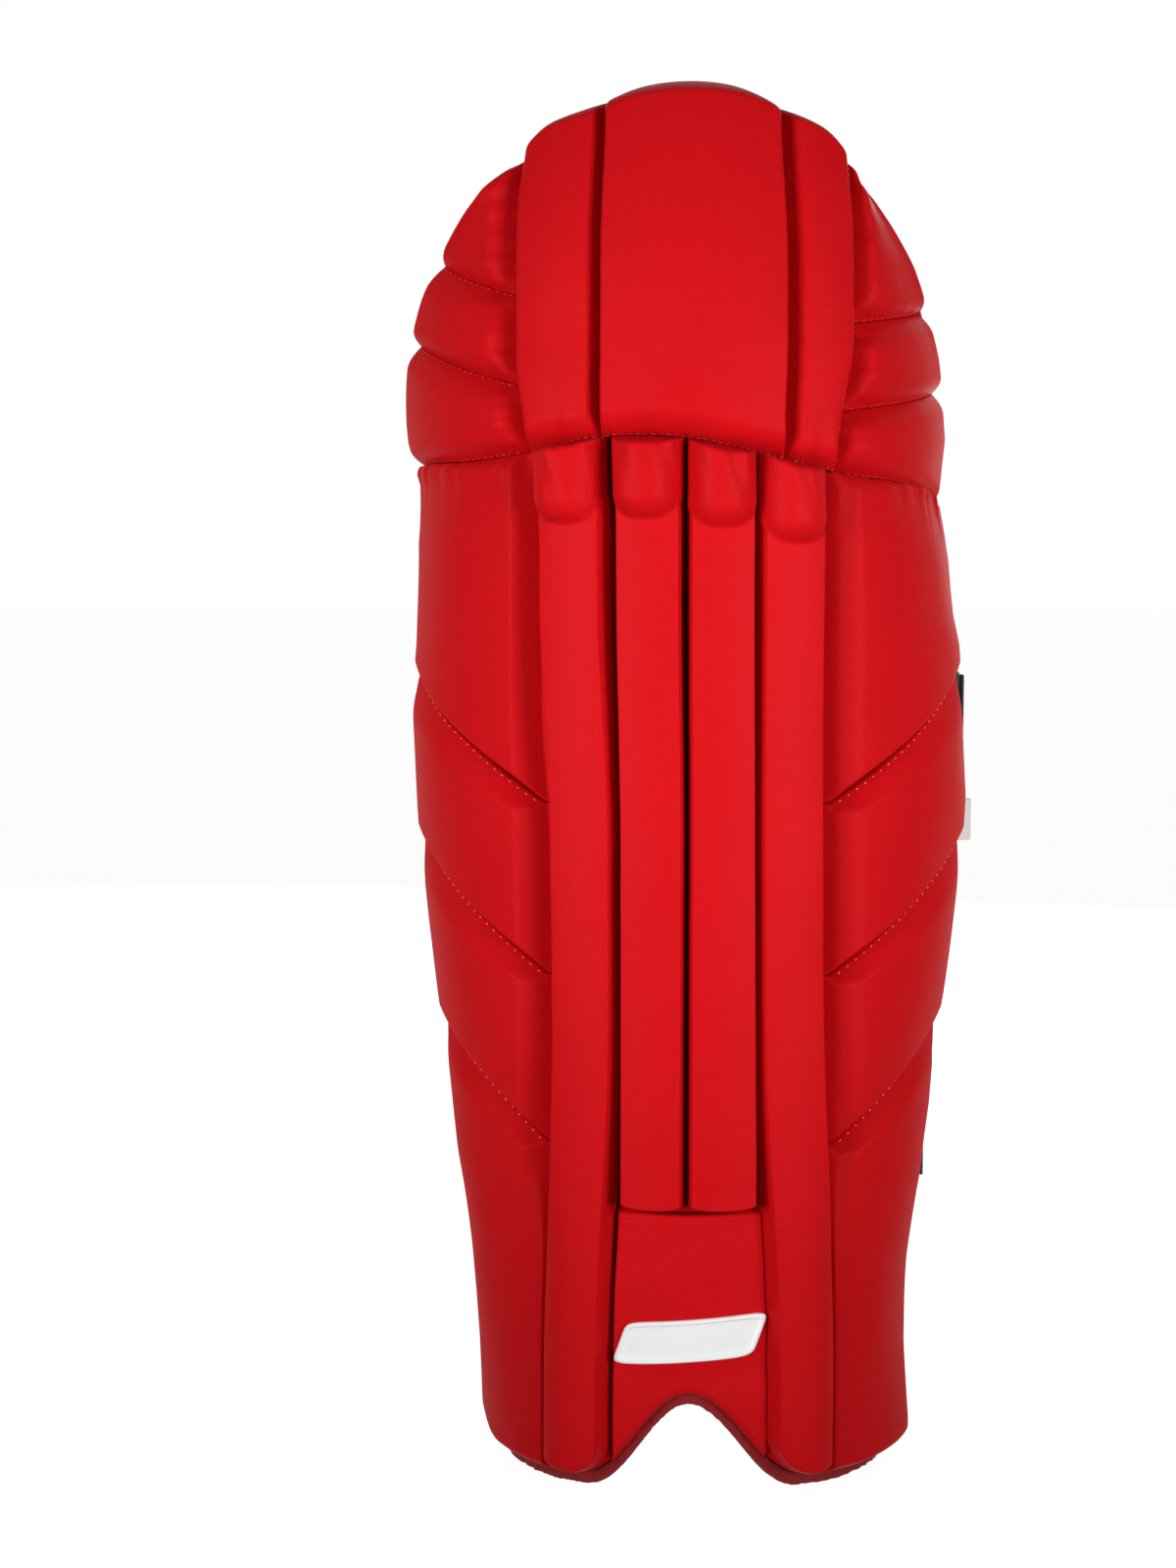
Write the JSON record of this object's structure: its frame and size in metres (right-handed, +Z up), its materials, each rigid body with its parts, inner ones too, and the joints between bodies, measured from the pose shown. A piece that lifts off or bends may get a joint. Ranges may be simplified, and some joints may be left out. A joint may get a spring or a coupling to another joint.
{
  "type": "cricket leg pad",
  "caption": "Wicket-keeping leg pad: curved foam shell with shin bars, knee rolls, quilted knee section and two back straps.",
  "frame": {"origin": "centre of the bounding box at the floor, where the lower rim stands", "axes": "+Z up the shin, +Y from the front padding towards the leg, +X the outer side of the leg where the straps close"},
  "size_m": [0.2996, 0.2023, 0.7],
  "materials": {
    "red_pu": "matte fine-grained polyurethane leather over foam",
    "lining_fabric": "brushed soft lining cloth",
    "binding": "gathered folded tape",
    "badge_rubber": "satin moulded rubber",
    "label_satin": "satin ribbon",
    "cane": "raw split cane",
    "stiffener_plastic": "satin sheet",
    "strap_patch": "matte sewn patch",
    "hook_tape": "hook tape",
    "loop_tape": "brushed loop tape",
    "elastic": "ribbed woven elastic",
    "webbing": "plain woven webbing"
  },
  "bodies": {
    "shin_section": {"shin_shell": "red_pu", "shin_lining": "lining_fabric", "shin_bar_1": "red_pu", "shin_bar_2": "red_pu", "shin_bar_3": "red_pu", "shin_bar_4": "red_pu", "cane_rods": "cane", "knee_roll_1": "red_pu", "knee_roll_2": "red_pu", "knee_roll_3": "red_pu", "knee_roll_4": "red_pu", "inner_wing_panel_1": "red_pu", "inner_wing_panel_2": "red_pu", "inner_wing_panel_3": "red_pu", "inner_wing_panel_4": "red_pu", "outer_wing_panel_1": "red_pu", "outer_wing_panel_2": "red_pu", "outer_wing_panel_3": "red_pu", "outer_wing_panel_4": "red_pu", "instep_panel": "red_pu", "badge": "badge_rubber", "shin_bolster_inner": "lining_fabric", "shin_bolster_outer": "lining_fabric", "knee_bolster_lower": "lining_fabric", "side_binding_inner": "binding", "side_binding_outer": "binding", "instep_binding": "binding", "strap_patches": "strap_patch", "size_label": "label_satin", "calf_strap_root": "webbing", "calf_strap_tongue": "loop_tape", "calf_tongue_root": "red_pu", "ankle_strap_root": "webbing", "ankle_strap_tongue": "loop_tape", "ankle_tongue_root": "red_pu"},
    "knee_section": {"knee_shell": "red_pu", "knee_lining": "lining_fabric", "knee_centre_panel": "red_pu", "knee_side_panel_inner": "red_pu", "knee_side_panel_outer": "red_pu", "knee_stiffener": "stiffener_plastic", "inner_knee_wing_1": "red_pu", "inner_knee_wing_2": "red_pu", "inner_knee_wing_3": "red_pu", "outer_knee_wing_1": "red_pu", "outer_knee_wing_2": "red_pu", "outer_knee_wing_3": "red_pu", "knee_bolster_upper": "lining_fabric", "knee_binding": "binding"},
    "calf_strap_back": {"calf_strap_elastic": "elastic"},
    "calf_strap_front": {"calf_strap_webbing": "webbing", "calf_hook_patch": "hook_tape"},
    "calf_strap_tab": {"calf_pull_tab": "webbing"},
    "ankle_strap_back": {"ankle_strap_elastic": "elastic"},
    "ankle_strap_front": {"ankle_strap_webbing": "webbing", "ankle_hook_patch": "hook_tape"},
    "ankle_strap_tab": {"ankle_pull_tab": "webbing"}
  },
  "joints": [
    {"name": "knee_flex", "type": "hinge", "parent": "shin_section", "child": "knee_section", "pos_m": [0, -0.0745, 0.524], "axis": [1, 0, 0], "range_deg": [0, 12]},
    {"name": "calf_strap_swing", "type": "hinge", "parent": "shin_section", "child": "calf_strap_back", "pos_m": [-0.14121, 0.04148, 0.385], "axis": [0, 0, 1], "range_deg": [0, 100]},
    {"name": "calf_strap_bend", "type": "hinge", "parent": "calf_strap_back", "child": "calf_strap_front", "pos_m": [-0.01307, 0.10098, 0.385], "axis": [0, 0, 1], "range_deg": [0, 80]},
    {"name": "calf_strap_peel", "type": "hinge", "parent": "calf_strap_front", "child": "calf_strap_tab", "pos_m": [0.1192, 0.07665, 0.385], "axis": [0, 0, 1], "range_deg": [0, 100]},
    {"name": "ankle_strap_swing", "type": "hinge", "parent": "shin_section", "child": "ankle_strap_back", "pos_m": [-0.11623, 0.0198, 0.163], "axis": [0, 0, 1], "range_deg": [0, 100]},
    {"name": "ankle_strap_bend", "type": "hinge", "parent": "ankle_strap_back", "child": "ankle_strap_front", "pos_m": [-0.00857, 0.07003, 0.163], "axis": [0, 0, 1], "range_deg": [0, 80]},
    {"name": "ankle_strap_peel", "type": "hinge", "parent": "ankle_strap_front", "child": "ankle_strap_tab", "pos_m": [0.10254, 0.04949, 0.163], "axis": [0, 0, 1], "range_deg": [0, 100]}
  ]
}
